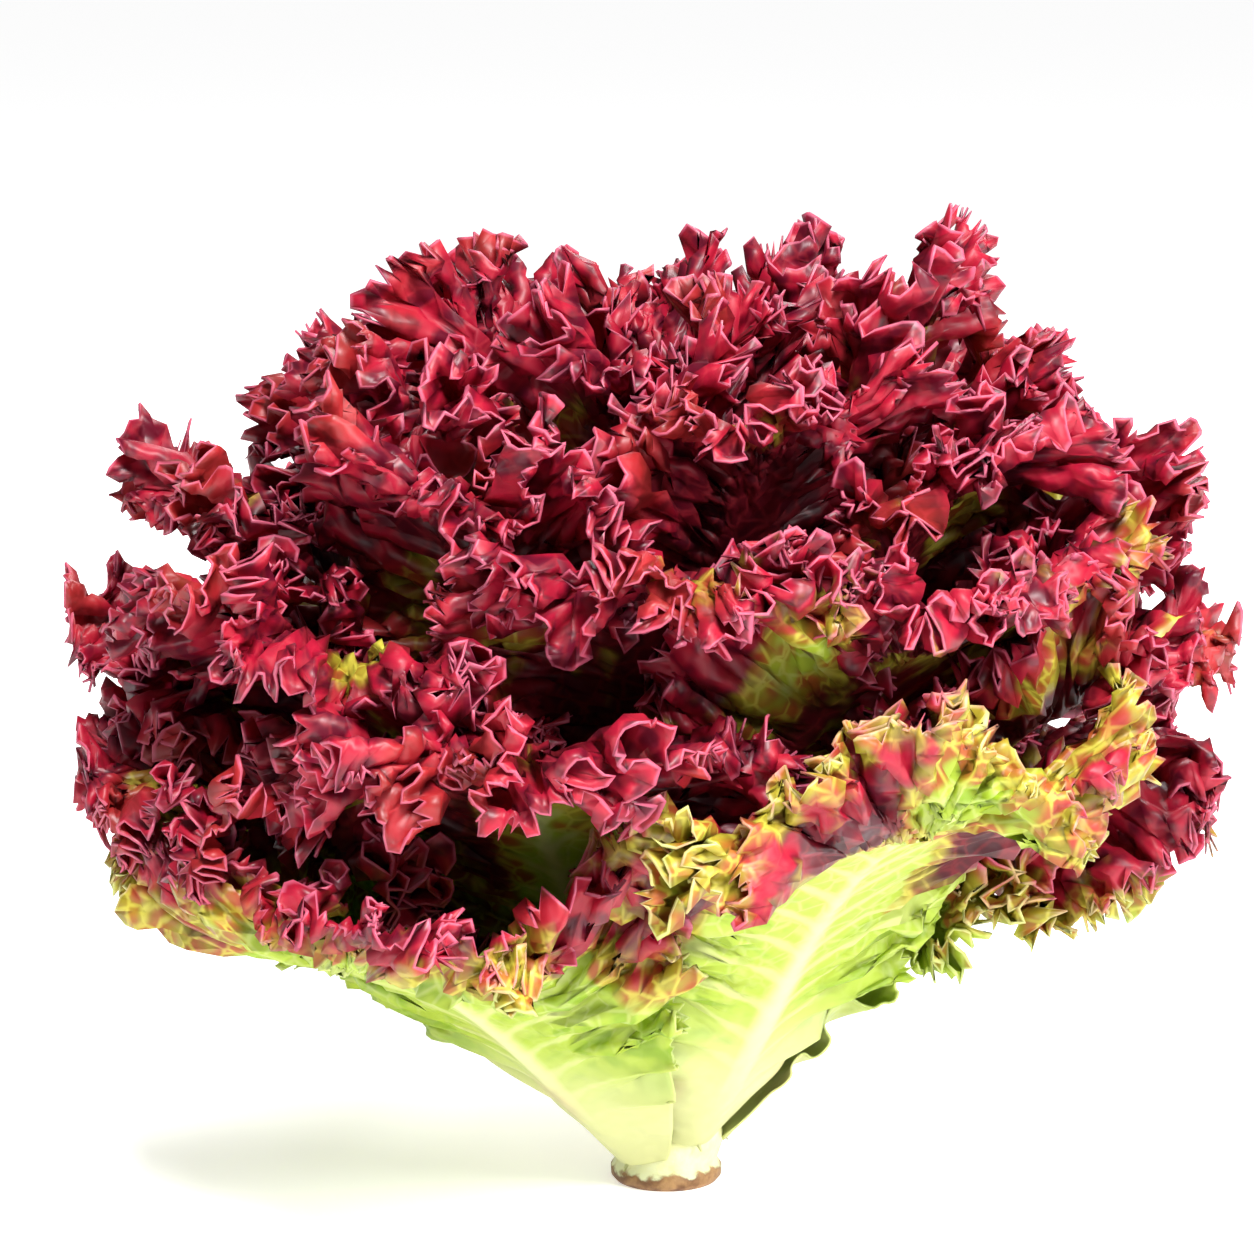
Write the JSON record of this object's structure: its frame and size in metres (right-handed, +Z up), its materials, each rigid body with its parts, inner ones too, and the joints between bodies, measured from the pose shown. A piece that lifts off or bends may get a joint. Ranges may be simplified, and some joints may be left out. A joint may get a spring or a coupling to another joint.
{
  "type": "red leaf lettuce head",
  "caption": "Whole head of loose-leaf red lettuce with deeply frilled burgundy leaf edges and pale green ribs, standing on its cut stem.",
  "frame": {"origin": "middle of the flat cut face at the foot of the stem, on which the head stands", "axes": "+Z up along the stem, front of the head faces -Y, +X along its widest spread"},
  "size_m": [0.2812, 0.2775, 0.2392],
  "materials": {
    "cut_stem": "moist whitish green stem, its cut rim oxidised to brown",
    "outer_leaf": "satin yellow-green blade with near-white ribs and a burgundy frilled edge",
    "frilled_leaf": "waxy burgundy frilled leaf with a thin pale pink rim and a green foot"
  },
  "bodies": {
    "root": {"stem": "cut_stem", "leaf_01": "outer_leaf", "leaf_02": "outer_leaf", "leaf_03": "outer_leaf", "leaf_04": "outer_leaf", "leaf_05": "outer_leaf", "leaf_06": "frilled_leaf", "leaf_07": "frilled_leaf", "leaf_08": "frilled_leaf", "leaf_09": "frilled_leaf", "leaf_10": "frilled_leaf", "leaf_11": "frilled_leaf", "leaf_12": "frilled_leaf", "leaf_13": "frilled_leaf", "leaf_14": "frilled_leaf", "leaf_15": "frilled_leaf", "leaf_16": "frilled_leaf", "leaf_17": "frilled_leaf", "leaf_18": "frilled_leaf", "leaf_19": "frilled_leaf", "leaf_20": "frilled_leaf", "leaf_21": "frilled_leaf", "leaf_22": "frilled_leaf", "leaf_23": "frilled_leaf", "leaf_24": "frilled_leaf", "leaf_25": "frilled_leaf", "leaf_26": "frilled_leaf", "leaf_27": "frilled_leaf", "leaf_28": "frilled_leaf", "leaf_29": "frilled_leaf", "leaf_30": "frilled_leaf", "leaf_31": "frilled_leaf", "leaf_32": "frilled_leaf", "leaf_33": "frilled_leaf", "leaf_34": "frilled_leaf", "leaf_35": "frilled_leaf"}
  },
  "joints": []
}
